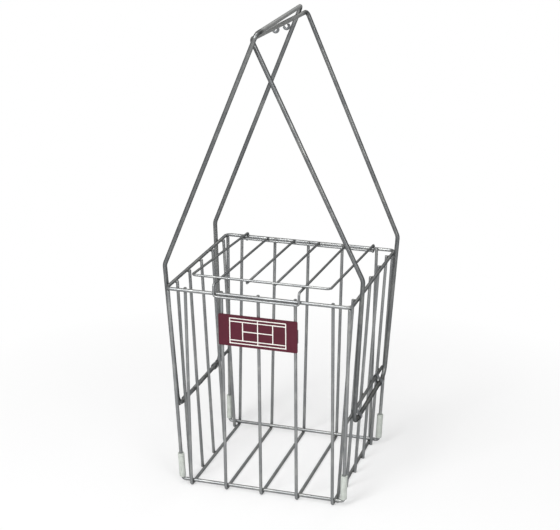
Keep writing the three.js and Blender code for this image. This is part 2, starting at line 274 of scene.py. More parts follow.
def build_wire_tree():
    tree, given = new_tree("round_wire", "GeometryNodeTree", {
        "Path": ("NodeSocketGeometry", None),
        "Diameter": ("NodeSocketFloat", cage_wire),
        "Sides": ("NodeSocketInt", wire_sides),
        "End Size": ("NodeSocketFloat", sheared_end),
        "End Rounding": ("NodeSocketFloat", end_rounding),
        "Start": ("NodeSocketFloat", 0.0),
        "Material": ("NodeSocketMaterial", None),
    }, {"Wire": "NodeSocketGeometry"})
    route = add(tree, "GeometryNodeMeshToCurve", {"Mesh": given["Path"]}).outputs["Curve"]
    so_far = add(tree, "GeometryNodeSplineParameter").outputs["Length"]
    full_length = add(tree, "GeometryNodeSplineLength").outputs["Length"]
    to_end = maths(tree, "MINIMUM", so_far, maths(tree, "SUBTRACT", full_length, so_far))
    part = maths(tree, "DIVIDE", to_end, given["End Rounding"])
    near = maths(tree, "SUBTRACT", 1.0, part, clamp=True)
    narrowing = product(tree, near, near, maths(tree, "SUBTRACT", 1.0, given["End Size"]))
    width = maths(tree, "SUBTRACT", 1.0, narrowing)
    along = maths(tree, "ADD", so_far, given["Start"])
    route = stored(tree, route, "along", along, data_type="FLOAT")
    radius = maths(tree, "DIVIDE", given["Diameter"], 2.0)
    circle = add(tree, "GeometryNodeCurvePrimitiveCircle",
                 {"Resolution": given["Sides"], "Radius": radius}).outputs["Curve"]
    place = add(tree, "GeometryNodeInputPosition").outputs[0]
    wire = add(tree, "GeometryNodeCurveToMesh",
               {"Curve": route, "Profile Curve": stored(tree, circle, "around", place),
                "Scale": width, "Fill Caps": True}).outputs[0]
    across = add(tree, "ShaderNodeSeparateXYZ", {0: recalled(tree, "around")}).outputs
    straight = add(tree, "ShaderNodeCombineXYZ",
                   {"X": across["X"], "Y": across["Y"],
                    "Z": recalled(tree, "along", data_type="FLOAT")}).outputs[0]
    wire = stored(tree, wire, "straight_place", straight)
    wire = add(tree, "GeometryNodeSetShadeSmooth",
               {"Geometry": wire, "Shade Smooth": True}).outputs[0]
    angle = add(tree, "GeometryNodeInputMeshEdgeAngle").outputs["Unsigned Angle"]
    sharp = add(tree, "FunctionNodeCompare", {"A": angle, "B": sharp_edge},
                operation="GREATER_THAN").outputs[0]
    wire = add(tree, "GeometryNodeSetShadeSmooth",
               {"Geometry": wire, "Selection": sharp, "Shade Smooth": False},
               domain="EDGE").outputs[0]
    wire = add(tree, "GeometryNodeRealizeInstances", {"Geometry": wire}).outputs[0]
    wire = add(tree, "GeometryNodeSetMaterial", {"Geometry": wire, "Material": given["Material"]})
    add(tree, "NodeGroupOutput", {"Wire": wire.outputs[0]})
    return tree


wire_tree = build_wire_tree()
print("wire tree:", len(wire_tree.nodes), "nodes")

# %% [markdown]
# ## Running a tree
# A modifier's inputs are known by identifiers such as Socket_2, which aren't their names, so a
# helper looks each one up in the tree. It then evaluates the object once, keeps the result as a
# plain mesh and takes the modifier off, because the finished piece must not depend on the tree.

# %% Helpers that run a tree and finish a piece


def spaced(values):
    """Values under the names that Blender shows, with a space for each _."""
    return {name.replace("_", " "): value for name, value in values.items()}


def link_mesh(name, mesh):
    piece = bpy.data.objects.new(name, mesh)
    bpy.context.scene.collection.objects.link(piece)
    return piece


def path_object(name, points, closed=False):
    """A mesh of points joined by edges, for a tree to follow."""
    count = len(points)
    edges = [(here, (here + 1) % count) for here in range(count if closed else count - 1)]
    mesh = bpy.data.meshes.new(name)
    mesh.from_pydata(points, edges, [])
    return link_mesh(name, mesh)


def settle(piece):
    """Turns what a piece's modifiers make into its own plain mesh."""
    graph = bpy.context.evaluated_depsgraph_get()
    mesh = bpy.data.meshes.new_from_object(piece.evaluated_get(graph), depsgraph=graph)
    piece.modifiers.clear()
    piece.data = mesh
    mesh.name = piece.name
    return piece


def run_tree(piece, tree, **values):
    """Runs a tree on a piece, with values for its inputs."""
    modifier = piece.modifiers.new(tree.name, "NODES")
    modifier.node_group = tree
    inputs = [item for item in tree.interface.items_tree if item.in_out == "INPUT"]
    known = {item.name: item.identifier for item in inputs}
    for name, value in spaced(values).items():
        modifier[known[name]] = value
    return settle(piece)


def hand_over(piece, node):
    """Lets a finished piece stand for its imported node, on the same body."""
    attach(piece, frame["nodes"][node]["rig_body"])
    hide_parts(node)


# %% [markdown]
# ## Colours and shared finishes
# Colours are written as they look on a screen, from 0 to 255, and turned into the linear values
# that a shader needs. Four effects are used by more than one material, so each is a group that is
# built once: the drawn lines of wire, rubbed patches, pale court dust on upward faces, and the
# fine unevenness of a coat. The groups put out masks and heights, and no colours: each material
# mixes its own.

# %% Colours and ranges
zero_to_one = (0.0, 1.0)
screen_white = 255


def shade(red, green, blue):
    """A screen colour as linear red, green, blue and alpha."""
    toe, slope, offset, power = 0.04045, 12.92, 0.055, 2.4
    levels = [value / screen_white for value in (red, green, blue)]
    linear = [v / slope if v <= toe else ((v + offset) / (1 + offset)) ** power for v in levels]
    return [*linear, 1.0]


def mapped(tree, value, old=zero_to_one, new=zero_to_one):
    """A value's old range, a pair, stretched to a new one and held inside it."""
    return add(tree, "ShaderNodeMapRange",
               {"Value": value, "From Min": old[0], "From Max": old[1],
                "To Min": new[0], "To Max": new[1]}).outputs["Result"]


# %% The shared groups
line_contrast = (0.3, 0.7)
patch_middle = 0.75
upward_part = (0.2, 0.95)
cloud_scale, cloud_contrast = 45.0, (0.35, 0.7)
grain_scale, grain_contrast = 900.0, (0.3, 0.65)


def noise_of(tree, place, scale, detail, **more):
    """The value of a noise texture at a place."""
    inputs = {"Vector": place, "Scale": scale, "Detail": detail}
    return add(tree, "ShaderNodeTexNoise", inputs | more).outputs[0]


def build_streaks():
    """Fine lines along a wire, from its place in the straight wire."""
    tree, given = new_tree("drawn_lines", "ShaderNodeTree", {
        "Place": ("NodeSocketVector", None),
        "Line Width": ("NodeSocketFloat", 0.6 * mm),
        "Line Length": ("NodeSocketFloat", 90 * mm),
    }, {"Lines": "NodeSocketFloat"})
    across = maths(tree, "DIVIDE", 1.0, given["Line Width"])
    along = maths(tree, "DIVIDE", 1.0, given["Line Length"])
    scale = add(tree, "ShaderNodeCombineXYZ", {"X": across, "Y": across, "Z": along}).outputs[0]
    place = add(tree, "ShaderNodeVectorMath", {0: given["Place"], 1: scale}, operation="MULTIPLY")
    noise = noise_of(tree, place.outputs[0], scale=1.0, detail=3.0)
    add(tree, "NodeGroupOutput", {"Lines": mapped(tree, noise, line_contrast)})
    return tree


def build_patches():
    """Patches of about one size that cover about one share of a surface."""
    tree, given = new_tree("rubbed_patches", "ShaderNodeTree", {
        "Place": ("NodeSocketVector", None),
        "Patch Size": ("NodeSocketFloat", 30 * mm),
        "Cover": ("NodeSocketFloat", 0.3),
        "Softness": ("NodeSocketFloat", 0.1),
    }, {"Patches": "NodeSocketFloat"})
    scale = maths(tree, "DIVIDE", 1.0, given["Patch Size"])
    noise = noise_of(tree, given["Place"], scale, detail=5.0, Roughness=0.6)
    edge = maths(tree, "SUBTRACT", patch_middle, maths(tree, "DIVIDE", given["Cover"], 2.0))
    low = maths(tree, "SUBTRACT", edge, given["Softness"])
    high = maths(tree, "ADD", edge, given["Softness"])
    add(tree, "NodeGroupOutput", {"Patches": mapped(tree, noise, (low, high))})
    return tree


def build_dust():
    """Pale dust, mostly on faces that look up."""
    tree, given = new_tree("court_dust", "ShaderNodeTree", {
        "Place": ("NodeSocketVector", None),
        "Amount": ("NodeSocketFloat", 0.3),
    }, {"Dust": "NodeSocketFloat"})
    facing = add(tree, "ShaderNodeTexCoord").outputs["Normal"]
    upward = add(tree, "ShaderNodeSeparateXYZ", {0: facing}).outputs["Z"]
    cloud = noise_of(tree, given["Place"], cloud_scale, detail=6.0)
    grains = noise_of(tree, given["Place"], grain_scale, detail=2.0)
    lying = product(tree, mapped(tree, upward, upward_part), mapped(tree, cloud, cloud_contrast),
                    mapped(tree, grains, grain_contrast), given["Amount"])
    add(tree, "NodeGroupOutput", {"Dust": lying})
    return tree


def build_coat():
    """The low, soft bumps of a sprayed coat, as a height."""
    tree, given = new_tree("coat_peel", "ShaderNodeTree", {
        "Place": ("NodeSocketVector", None),
        "Grain": ("NodeSocketFloat", 0.8 * mm),
    }, {"Height": "NodeSocketFloat"})
    scale = maths(tree, "DIVIDE", 1.0, given["Grain"])
    add(tree, "NodeGroupOutput", {"Height": noise_of(tree, given["Place"], scale, detail=2.0)})
    return tree


streaks, patches, dust, coat = build_streaks(), build_patches(), build_dust(), build_coat()
print("shared finishes:", [group.name for group in (streaks, patches, dust, coat)])

# %% [markdown]
# ## Starting a material
# Every material here starts from the Principled shader, object coordinates and the same few
# helpers, so a finish reads as a short list: a base colour, what is mixed over it, how rough it
# is and how uneven.

# %% Helpers for materials


class Finish:
    """A material under construction, with its tree and its main shader."""

    def __init__(self, name, **steady):
        self.material = bpy.data.materials.new(name)
        self.material.use_nodes = True
        self.tree = self.material.node_tree
        self.shader = self.tree.nodes["Principled BSDF"]
        self.place = add(self.tree, "ShaderNodeTexCoord").outputs["Object"]
        for label, value in spaced(steady).items():
            self.shader.inputs[label].default_value = value

    def group(self, group, **values):
        """The first output of a shared group, placed with its own values."""
        inputs = {"Place": self.place} | spaced(values)
        return add(self.tree, "ShaderNodeGroup", inputs, node_tree=group).outputs[0]

    def mix(self, share, under, over):
        """Two colours mixed by a mask. The node's colour sockets have the numbers 6, 7 and 2."""
        node = add(self.tree, "ShaderNodeMix", {0: share, 6: under, 7: over}, data_type="RGBA")
        return node.outputs[2]

    def rough(self, mask, span, *changes):
        """Roughness over a mask's range. Each change is a mask and what it adds."""
        level = mapped(self.tree, mask, new=span)
        for where, added in changes:
            level = maths(self.tree, "ADD", level, product(self.tree, where, added))
        return level

    def end(self, colour, roughness, height, depth):
        """Links what was mixed to the shader. Depth is the bumps' height in metres."""
        self.tree.links.new(colour, self.shader.inputs["Base Color"])
        self.tree.links.new(roughness, self.shader.inputs["Roughness"])
        bump = add(self.tree, "ShaderNodeBump", {"Height": height, "Distance": depth})
        self.tree.links.new(bump.outputs[0], self.shader.inputs["Normal"])
        return self.material


# %% [markdown]
# ## Coated wire
# The wires have a satin grey coat with a metallic tint. The draw lines show through it, hands and
# balls have rubbed it brighter in patches, and dust lies on top. A plain grey would do from far
# away, but close up the lines are what makes it wire and not a tube. The handles' coat is a
# darker copy of it, as painted shade, and a paler colour on their grip bars is a painted
# highlight, where a mask of height and place puts it.

# %% The wire materials
basket_shades = [shade(124, 126, 127), shade(150, 152, 153), shade(176, 177, 174)]
# painted shade: the handles' coat is a darker copy of the basket's, standing for the dimmer light
# on them
handle_shaded_tones = [shade(96, 98, 99), shade(120, 122, 123), shade(154, 155, 152)]
# painted light: a pale colour on the grip bars stands for the light that falls on them
bar_painted_light = shade(176, 177, 176)
dust_shade = shade(176, 170, 156)
edge_tint = shade(84, 86, 88)
coat_rough, coat_depth = (0.46, 0.38), 0.005 * mm
rubbed_share, rubbed_gloss = 0.6, 0.08
dust_rough = 0.3
bar_light_height, bar_light_half, bar_light_fade = 814 * mm, 108 * mm, 14 * mm
bar_light_share, bar_light_rough = (0.75, 0.95), 0.2


def bar_light_part(finish, rubbed):
    """Where the grip bars get a painted highlight, from their height and reach."""
    parts = add(finish.tree, "ShaderNodeSeparateXYZ", {0: finish.place}).outputs
    high = mapped(finish.tree, parts["Z"], (bar_light_height, bar_light_height + bar_light_fade))
    along = maths(finish.tree, "ABSOLUTE", parts["Y"])
    near = mapped(finish.tree, along, (bar_light_half + bar_light_fade, bar_light_half))
    return product(finish.tree, high, near, mapped(finish.tree, rubbed, new=bar_light_share))


def wire_finish(name, rub, shades, has_bar_light=False):
    groove, ridge, bare = shades
    finish = Finish(name, Metallic=0.9, Specular_Tint=edge_tint)
    tree = finish.tree
    straight = add(tree, "ShaderNodeAttribute", attribute_name="straight_place").outputs["Vector"]
    lines = finish.group(streaks, Place=straight)
    rubbed = finish.group(patches, Patch_Size=38 * mm, Cover=rub, Softness=0.12)
    lying = finish.group(dust, Amount=0.3)
    colour = finish.mix(lines, groove, ridge)
    colour = finish.mix(product(tree, rubbed, rubbed_share), colour, bare)
    changes = [(rubbed, -rubbed_gloss), (lying, dust_rough)]
    # the grip bars get a painted highlight, a paler colour where the mask puts it
    if has_bar_light:
        bar_light_mask = bar_light_part(finish, rubbed)
        colour = finish.mix(bar_light_mask, colour, bar_painted_light)
        changes.append((bar_light_mask, bar_light_rough))
    colour = finish.mix(lying, colour, dust_shade)
    height = maths(tree, "ADD", lines, finish.group(coat))
    return finish.end(colour, finish.rough(lines, coat_rough, *changes), height, coat_depth)


basket_coat = wire_finish("basket_wire_coat", rub=0.3, shades=basket_shades)
handle_coat = wire_finish("handle_wire_coat", rub=0.35, shades=handle_shaded_tones, has_bar_light=True)
print("coats made:", basket_coat.name, "and", handle_coat.name)

# %% [markdown]
# ## Drawing every wire
# One function draws a wire: it adds a few rings close to the ends, where the tree rounds them,
# runs the tree, and hands the piece over. A hoop is closed by a butt weld. Its points start and
# end at that weld, so the draw lines don't have to close on themselves anywhere else.

# %% The wire maker
ring_shares = (0.15, 0.4, 0.7, 1)
end_rings = [share * end_rounding for share in ring_shares]
weld_gap = 0.1 * mm
line_shift = 0.37


def with_end_rings(points):
    """Adds points close to both ends of an open route."""
    first = (points[1] - points[0]).normalized()
    last = (points[-2] - points[-1]).normalized()
    opening = [points[0] + first * reach for reach in end_rings]
    closing = [points[-1] + last * reach for reach in reversed(end_rings)]
    return [points[0], *opening, *points[1:-1], *closing, points[-1]]


wires_made = []


def make_wire(node, points, diameter, coat_material, closed=False):
    piece = path_object(f"round_{node}", points if closed else with_end_rings(points), closed)
    wires_made.append(node)
    run_tree(piece, wire_tree, Diameter=diameter, End_Size=1.0 if closed else sheared_end,
             Start=line_shift * len(wires_made), Material=coat_material)
    hand_over(piece, node)
    return piece


# %% [markdown]
# ## The rim and the two frames
# The rim is one hoop, closed by a butt weld at the back. Under it stand two U-shaped frames of
# the same wire, front and back, each of two corner legs and a cross wire at the floor. The legs
# lean in to the floor, so the frame is narrower at its foot than at the rim.

# %% Rim and frames
rim_corner = 10 * mm
frame_bend = 5 * mm
leg_outside_cage = 19 * mm
sides = (("left", -1), ("right", 1))
ends = (("front", -1), ("back", 1))

floor_level = flat(cage_wire)
wrap_bend = out(cage_wire) + seat + out(frame_wire)
cross_level = floor_level + wrap_bend
outer_cage = cage_pitch * (cage_count - 1) / 2
corner_inset = rim_corner * (1 - math.cos(math.pi / 4))
leg_top = Vector((rim_width / 2 - corner_inset, rim_depth / 2 - corner_inset,
                  rim_height - out(rim_wire) - 2 * seat))
leg_foot = Vector((outer_cage + leg_outside_cage, base_depth / 2, cross_level))


def mirrored(place, across, along):
    """A place on the right back corner, moved to the corner that the signs name."""
    return Vector((across * place.x, along * place.y, place.z))


rim_back = Vector((0, rim_depth / 2, rim_height))
rim_route = [(rim_back, 0)]
for across, along in ((-1, 1), (-1, -1), (1, -1), (1, 1)):
    corner = Vector((across * rim_width / 2, along * rim_depth / 2, rim_height))
    rim_route.append((corner, rim_corner))
rim_route.append((rim_back + X * weld_gap, 0))
make_wire("top_rim", rounded(rim_route, closed=True), rim_wire, basket_coat, closed=True)

for name, along in ends:
    route = [(mirrored(leg_top, -1, along), 0), (mirrored(leg_foot, -1, along), frame_bend),
             (mirrored(leg_foot, 1, along), frame_bend), (mirrored(leg_top, 1, along), 0)]
    make_wire(f"{name}_frame_wire", rounded(route), frame_wire, basket_coat)
print("legs lean in by", round((leg_top.x - leg_foot.x) / mm, 1), "mm")

# %% [markdown]
# ## The cage wires
# Five wires come down the front, wrap under both cross wires and go up the back. Their spacing
# is what makes the basket work: a ball squeezes in between two floor wires and can't fall out.
# The lean of their front and back stretches follows from the wrap round the cross wire.

# %% Cage wires
cage_above_rim = 3 * mm
cage_top = Vector((0, rim_depth / 2 - out(rim_wire) - seat - out(cage_wire),
                   rim_height + cage_above_rim))
rise = cage_top.z - cross_level
run = cage_top.y - base_depth / 2
cage_lean = math.atan2(run, rise) - math.asin(wrap_bend / math.hypot(run, rise))
cage_foot = cage_top.y - (cage_top.z - floor_level) * math.tan(cage_lean)


def cage_along(height):
    """How far from the middle the back stretch of a cage wire is at a height."""
    return cage_top.y - (cage_top.z - height) * math.tan(cage_lean)


cage_places = [index * cage_pitch - outer_cage for index in range(cage_count)]
for index, across in enumerate(cage_places):
    foot, top = Vector((across, cage_foot, floor_level)), Vector((across, cage_top.y, cage_top.z))
    route = [(mirrored(top, 1, -1), 0), (mirrored(foot, 1, -1), wrap_bend),
             (foot, wrap_bend), (top, 0)]
    make_wire(f"cage_wire_{index + 1}", rounded(route), cage_wire, basket_coat)
print("cage wires lean by", round(math.degrees(cage_lean), 2), "degrees")

# %% [markdown]
# ## The side ribs and the belt wires
# Straight ribs close the two sides, from inside the rim to the outermost floor wires. A level
# belt wire outside them carries the pivots of a handle and ends against the corner legs.

# %% Ribs and belts
rib_count = 5
rib_inside_legs = 9 * mm
rib_above_rim = 2 * mm
rib_above_floor = 0.8 * mm
belt_height = 161 * mm

rib_top = Vector((rim_width / 2 - out(rim_wire) - seat - out(rib_wire), 0,
                  rim_height + rib_above_rim))
rib_foot = Vector((outer_cage + out(cage_wire) + seat + out(rib_wire), 0, rib_above_floor))
rib_pitch = (base_depth - 2 * rib_inside_legs) / (rib_count - 1)
rib_places = [(index - (rib_count - 1) / 2) * rib_pitch for index in range(rib_count)]


def at_height(low, high, height):
    """The place at a height on the line between two places."""
    return low.lerp(high, (height - low.z) / (high.z - low.z))


belt_across = at_height(rib_foot, rib_top, belt_height).x + out(rib_wire) + seat + out(belt_wire)
belt_half = at_height(leg_foot, leg_top, belt_height).y - out(frame_wire) - seat
for name, across in sides:
    for index, along in enumerate(rib_places):
        route = [mirrored(place, across, 1) + Y * along for place in (rib_foot, rib_top)]
        make_wire(f"{name}_rib_{index + 1}", route, rib_wire, basket_coat)
    route = [Vector((across * belt_across, end * belt_half, belt_height)) for end in (-1, 1)]
    make_wire(f"{name}_belt_wire", route, belt_wire, basket_coat)
print("ribs every", round(rib_pitch / mm, 1), "mm")

# %% [markdown]
# ## The handles
# A handle is one closed loop. Its crossbar turns in two straps, its legs come up outside the
# basket, crank inwards above the rim and run on to the grip bar. The two loops are sprung, so
# they lean to one side at the top, and the right bar lies under the left one. The bars' corners
# are given where the photograph shows them, and the legs then run straight to the cranks.

# %% Handles
pivot_height = 150 * mm
crossbar_corner = 25 * mm
crank_above_rim = 36 * mm
crank_half = 134 * mm
crank_bend = 20 * mm
grip_height = 850 * mm
grip_half = 130 * mm
grip_corner = 9 * mm
handle_stagger = 9 * mm
handle_inside_legs = 15 * mm
left_front_drop, right_front_drop, right_rear_drop = 9 * mm, 21.5 * mm, 13 * mm
left_front_lean, right_front_lean, left_rear_lean = 9.5 * mm, 24 * mm, 8 * mm

crank_height = rim_height + crank_above_rim
crossbar_across = belt_across + out(belt_wire) + hinge_play + out(handle_wire)
crossbar_half = (at_height(leg_foot, leg_top, pivot_height).y - handle_stagger
                 - out(frame_wire) - handle_inside_legs)
rim_pass = Vector((rim_width / 2 + out(rim_wire) + hinge_play + out(handle_wire), 0, rim_height))
crank_across = at_height(Vector((crossbar_across, 0, pivot_height)), rim_pass, crank_height).x

left_rear = Vector((-left_rear_lean, grip_half - handle_stagger, grip_height))
left_front = Vector((-left_front_lean, -grip_half - handle_stagger,
                     grip_height - left_front_drop))
right_front = Vector((-right_front_lean, handle_stagger - grip_half,
                      grip_height - right_front_drop))
leg_tilt = math.atan2(crank_across + left_rear.x, grip_height - crank_height)
pass_across = ((2 * out(handle_wire) + hinge_play) / math.cos(leg_tilt)
               + left_rear.x - right_rear_drop * math.tan(leg_tilt))
stagger_share = handle_stagger / grip_half
right_rear = Vector(((pass_across - stagger_share * right_front.x) / (1 - stagger_share),
                     grip_half + handle_stagger, grip_height - right_rear_drop))
grips = {"left": (left_front, left_rear), "right": (right_front, right_rear)}

for name, across in sides:
    middle = across * handle_stagger
    front, rear = grips[name]
    weld = Vector((across * crossbar_across, middle, pivot_height))
    route = [(weld, 0)]
    for along, grip in ((1, rear), (-1, front)):
        crank = Vector((across * crank_across, middle + along * crank_half, crank_height))
        leg = [(weld + Y * along * crossbar_half, crossbar_corner), (crank, crank_bend),
               (grip, grip_corner)]
        route += leg if along > 0 else reversed(leg)
    route.append((weld - Y * weld_gap, 0))
    make_wire(f"{name}_handle", rounded(route, closed=True), handle_wire, handle_coat, closed=True)
print("right bar's rear corner is", round(right_rear.x / mm, 2), "mm across")

# %% [markdown]
# ## The lid
# The lid is a grille of thinner wire. Its frame wire ends in two hooks that wrap the rear rim
# wire, which is the whole hinge. Inner wires lie on a rear cross wire and under the front edge,
# and two of them are one long wire that runs on, drops in front of the rim and joins in a lip.
# The lip snaps under the rim and holds the lid shut.

# %% Lid frame and cross wire
lid_inside_cage = 8.5 * mm
lid_setback = 18.5 * mm
lid_rise = 17 * mm
lid_corner = 8 * mm
cross_reach = 22 * mm
hook_wrap = math.radians(235)
hook_step = 2 * bend_step

lid_half = outer_cage - lid_inside_cage
lid_reach = rim_depth - lid_setback
lid_angle = math.asin(lid_rise / lid_reach)
hinge_along = rim_depth / 2
lid_level = out(rim_wire) + hinge_play + out(lid_wire)
lid_stack = 2 * out(lid_wire) + seat


def on_lid(across, reach, height):
    """A place on the lid, from how far it is in front of the hinge and above the lid's plane."""
    return Vector((across,
                   hinge_along - reach * math.cos(lid_angle) + height * math.sin(lid_angle),
                   rim_height + reach * math.sin(lid_angle) + height * math.cos(lid_angle)))


def hinge_hook(across):
    """The hook of one side, from its free end to the top of the rim wire."""
    return [(on_lid(across, -lid_level * math.sin(angle), lid_level * math.cos(angle)), 0)
            for angle in fan(hook_wrap, -hook_wrap, math.ceil(hook_wrap / hook_step))]


lid_route = [*hinge_hook(-lid_half),
             (on_lid(-lid_half, lid_reach, lid_level), lid_corner),
             (on_lid(lid_half, lid_reach, lid_level), lid_corner),
             *reversed(hinge_hook(lid_half))]
make_wire("lid_frame_wire", rounded(lid_route), lid_wire, basket_coat)
cross_ends = [on_lid(end * (lid_half + out(lid_wire)), cross_reach, lid_level - lid_stack)
              for end in (-1, 1)]
make_wire("lid_cross_wire", cross_ends, lid_wire, basket_coat)

# %% Inner wires and the latch wire
lid_overhang = 4 * mm
inner_place = 24.5 * mm
latch_place = 77 * mm
latch_bend = 5 * mm
lip_below_rim = 3.5 * mm

lip_along = -(rim_depth / 2 + out(rim_wire) + hinge_play + out(lid_wire))
lip_height = rim_height - lip_below_rim


def on_inner(across, reach):
    """A place on an inner wire, which sinks from the rear cross wire to under the front edge."""
    share = (reach - cross_reach) / (lid_reach - cross_reach)
    return on_lid(across, reach, lid_level - share * lid_stack)


for name, across in sides:
    place = across * inner_place
    route = [on_inner(place, cross_reach - lid_overhang), on_inner(place, lid_reach)]
    make_wire(f"lid_inner_wire_{name}", route, lid_wire, basket_coat)


def latch_side(across):
    rear = on_inner(across, cross_reach - lid_overhang)
    edge = on_inner(across, lid_reach)
    knee = rear.lerp(edge, (lip_along - rear.y) / (edge.y - rear.y))
    return [(rear, 0), (knee, latch_bend), (Vector((across, lip_along, lip_height)), latch_bend)]


latch_route = [*latch_side(-latch_place), *reversed(latch_side(latch_place))]
make_wire("lid_latch_wire", rounded(latch_route), lid_wire, basket_coat)
print("wires so far:", len(wires_made))

# %% [markdown]
# ## Zinc plated steel
# The pivot straps and the catch hooks aren't coated but zinc plated. Zinc has a faint bluish
# grey, a mottled spangle and dull spots where it has weathered.

# %% The zinc material
zinc_dark = shade(92, 95, 98)
zinc_light = shade(140, 143, 146)
zinc_dull = shade(112, 112, 108)
spangle_rough = (0.38, 0.3)
dull_share, dull_rough = 0.6, 0.25


def zinc_finish():
    finish = Finish("zinc_plate", Metallic=0.85)
    spangle = finish.group(patches, Patch_Size=3 * mm, Cover=0.5, Softness=0.2)
    dull = finish.group(patches, Patch_Size=9 * mm, Cover=0.25, Softness=0.1)
    colour = finish.mix(spangle, zinc_dark, zinc_light)
    colour = finish.mix(product(finish.tree, dull, dull_share), colour, zinc_dull)
    rough = finish.rough(spangle, spangle_rough, (dull, dull_rough))
    return finish.end(colour, rough, finish.group(coat, Grain=0.5 * mm), depth=0.02 * mm)


zinc = zinc_finish()

# %% [markdown]
# ## The catch hooks
# Two short wires are curled under the right grip bar and a little to its left, both open to the
# left. They could be parts of a torus, but the wire maker already draws any route, so a hook is a
# route too.

# %% Catch hooks
hook_radius = 4.8 * mm
hook_turn = math.radians(250)
hook_places = {"front": (-1 * mm, math.radians(45)), "rear": (42 * mm, math.radians(25))}
hook_welds = []

for name, (along, hang) in hook_places.items():
    on_bar = right_front.lerp(right_rear, (grip_half + along) / (2 * grip_half))
    hanging = Vector((-math.sin(hang), 0, -math.cos(hang)))
    centre = on_bar + hanging * (out(handle_wire) + seat + out(hook_wire) + hook_radius)
    curl = [centre + X * hook_radius * math.sin(angle) + Z * hook_radius * math.cos(angle)
            for angle in fan(hang, hook_turn, math.ceil(hook_turn / hook_step))]
    make_wire(f"{name}_catch_hook", curl, hook_wire, zinc)
    hook_welds.append((on_bar + hanging * (out(handle_wire) + seat / 2), hanging))
print("hooks at", [round(weld.z / mm, 1) for weld, _ in hook_welds], "mm")

# %% [markdown]
# ## Welds
# Wherever two wires cross they are welded: a current presses and melts them together, and a small
# collar of steel is squeezed out between them. About seventy of these are alike, so a tree sets one
# rough bead on each point of a mesh. The point says which way the joint faces and how far the
# bead reaches, and a seed gives each bead a slightly different size.

# %% Build the weld tree
bead_segments = 14
bead_rings = 8
bead_seed = 7
noise_middle = 0.5


def build_weld_tree():
    tree, given = new_tree("weld_beads", "GeometryNodeTree", {
        "Joints": ("NodeSocketGeometry", None),
        "Size Change": ("NodeSocketFloat", 0.12),
        "Roughness": ("NodeSocketFloat", 0.35 * mm),
        "Grain": ("NodeSocketFloat", 1.6 * mm),
        "Seed": ("NodeSocketInt", bead_seed),
        "Material": ("NodeSocketMaterial", None),
    }, {"Beads": "NodeSocketGeometry"})
    turned = add(tree, "FunctionNodeAlignRotationToVector",
                 {"Vector": recalled(tree, "facing")}, axis="Z").outputs[0]
    smallest = maths(tree, "SUBTRACT", 1.0, given["Size Change"])
    largest = maths(tree, "ADD", 1.0, given["Size Change"])
    change = add(tree, "FunctionNodeRandomValue",
                 {2: smallest, 3: largest, "Seed": given["Seed"]}, data_type="FLOAT").outputs[1]
    bead = add(tree, "GeometryNodeMeshUVSphere",
               {"Segments": bead_segments, "Rings": bead_rings, "Radius": 1.0}).outputs["Mesh"]
    beads = add(tree, "GeometryNodeInstanceOnPoints",
                {"Points": given["Joints"], "Instance": bead, "Rotation": turned,
                 "Scale": scaled(tree, recalled(tree, "reach"), change)}).outputs[0]
    beads = add(tree, "GeometryNodeRealizeInstances", {"Geometry": beads}).outputs[0]
    scale = maths(tree, "DIVIDE", 1.0, given["Grain"])
    noise = add(tree, "ShaderNodeTexNoise", {"Scale": scale, "Detail": 2.0}).outputs[0]
    lift = product(tree, maths(tree, "SUBTRACT", noise, noise_middle), given["Roughness"])
    outward = add(tree, "GeometryNodeInputNormal").outputs["Normal"]
    beads = add(tree, "GeometryNodeSetPosition",
                {"Geometry": beads, "Offset": scaled(tree, outward, lift)}).outputs[0]
    beads = add(tree, "GeometryNodeSetShadeSmooth", {"Geometry": beads}).outputs[0]
    beads = add(tree, "GeometryNodeSetMaterial", {"Geometry": beads, "Material": given["Material"]})
    add(tree, "NodeGroupOutput", {"Beads": beads.outputs[0]})
    return tree


weld_tree = build_weld_tree()

# %% [markdown]
# ## Where the welds are
# A joint lies halfway between the centre lines of its two wires and faces along the line that
# joins them. So the list of joints follows from the routes above, row by row: cage wires and ribs
# at the rim, cage wires at the cross wires, ribs at the floor and at the belts, legs and belts.

# %% List the joints of the basket
bead_reach = Vector((3, 3, 1.7)) * mm
foot_reach = Vector((2.1, 2.1, 1.7)) * mm
butt_reach = Vector((0.35, 0.35, 1.1)) * mm
basket_joints = []


def joint(first, second, reach=bead_reach):
    """A weld between two centre-line points: its place, its facing and its reach."""
    return (first + second) / 2, (second - first).normalized(), reach


def butt(place, along, diameter):
    """The collar of a butt weld round a wire."""
    thick = Vector((diameter / 2, diameter / 2, 0))
    return place, along, thick + butt_reach


for across in cage_places:
    for along in (-1, 1):
        rim_point = Vector((across, along * rim_depth / 2, rim_height))
        cage_point = Vector((across, along * cage_along(rim_height), rim_height))
        basket_joints.append(joint(rim_point, cage_point))
        cross_point = Vector((across, along * base_depth / 2, cross_level))
        foot_point = Vector((across, along * base_depth / 2, floor_level))
        basket_joints.append(joint(cross_point, foot_point))
for _, across in sides:
    for along in rib_places:
        for height, beside in ((rim_height, rim_width / 2), (belt_height, belt_across)):
            rib_point = mirrored(at_height(rib_foot, rib_top, height), across, 1) + Y * along
            basket_joints.append(joint(rib_point, Vector((across * beside, along, height))))
        rib_point = mirrored(at_height(rib_foot, rib_top, floor_level), across, 1) + Y * along
        cage_point = Vector((across * outer_cage, along, floor_level))
        basket_joints.append(joint(rib_point, cage_point, foot_reach))
    for along in (-1, 1):
        leg_point = mirrored(at_height(leg_foot, leg_top, belt_height), across, along)
        belt_end = Vector((across * belt_across, along * belt_half, belt_height))
        basket_joints.append(joint(leg_point, belt_end))
        corner_point = mirrored(leg_top, across, along)
        basket_joints.append(joint(corner_point, corner_point + Z * (rim_height - leg_top.z)))
basket_joints.append(butt(rim_back, X, rim_wire))
print("basket joints:", len(basket_joints))

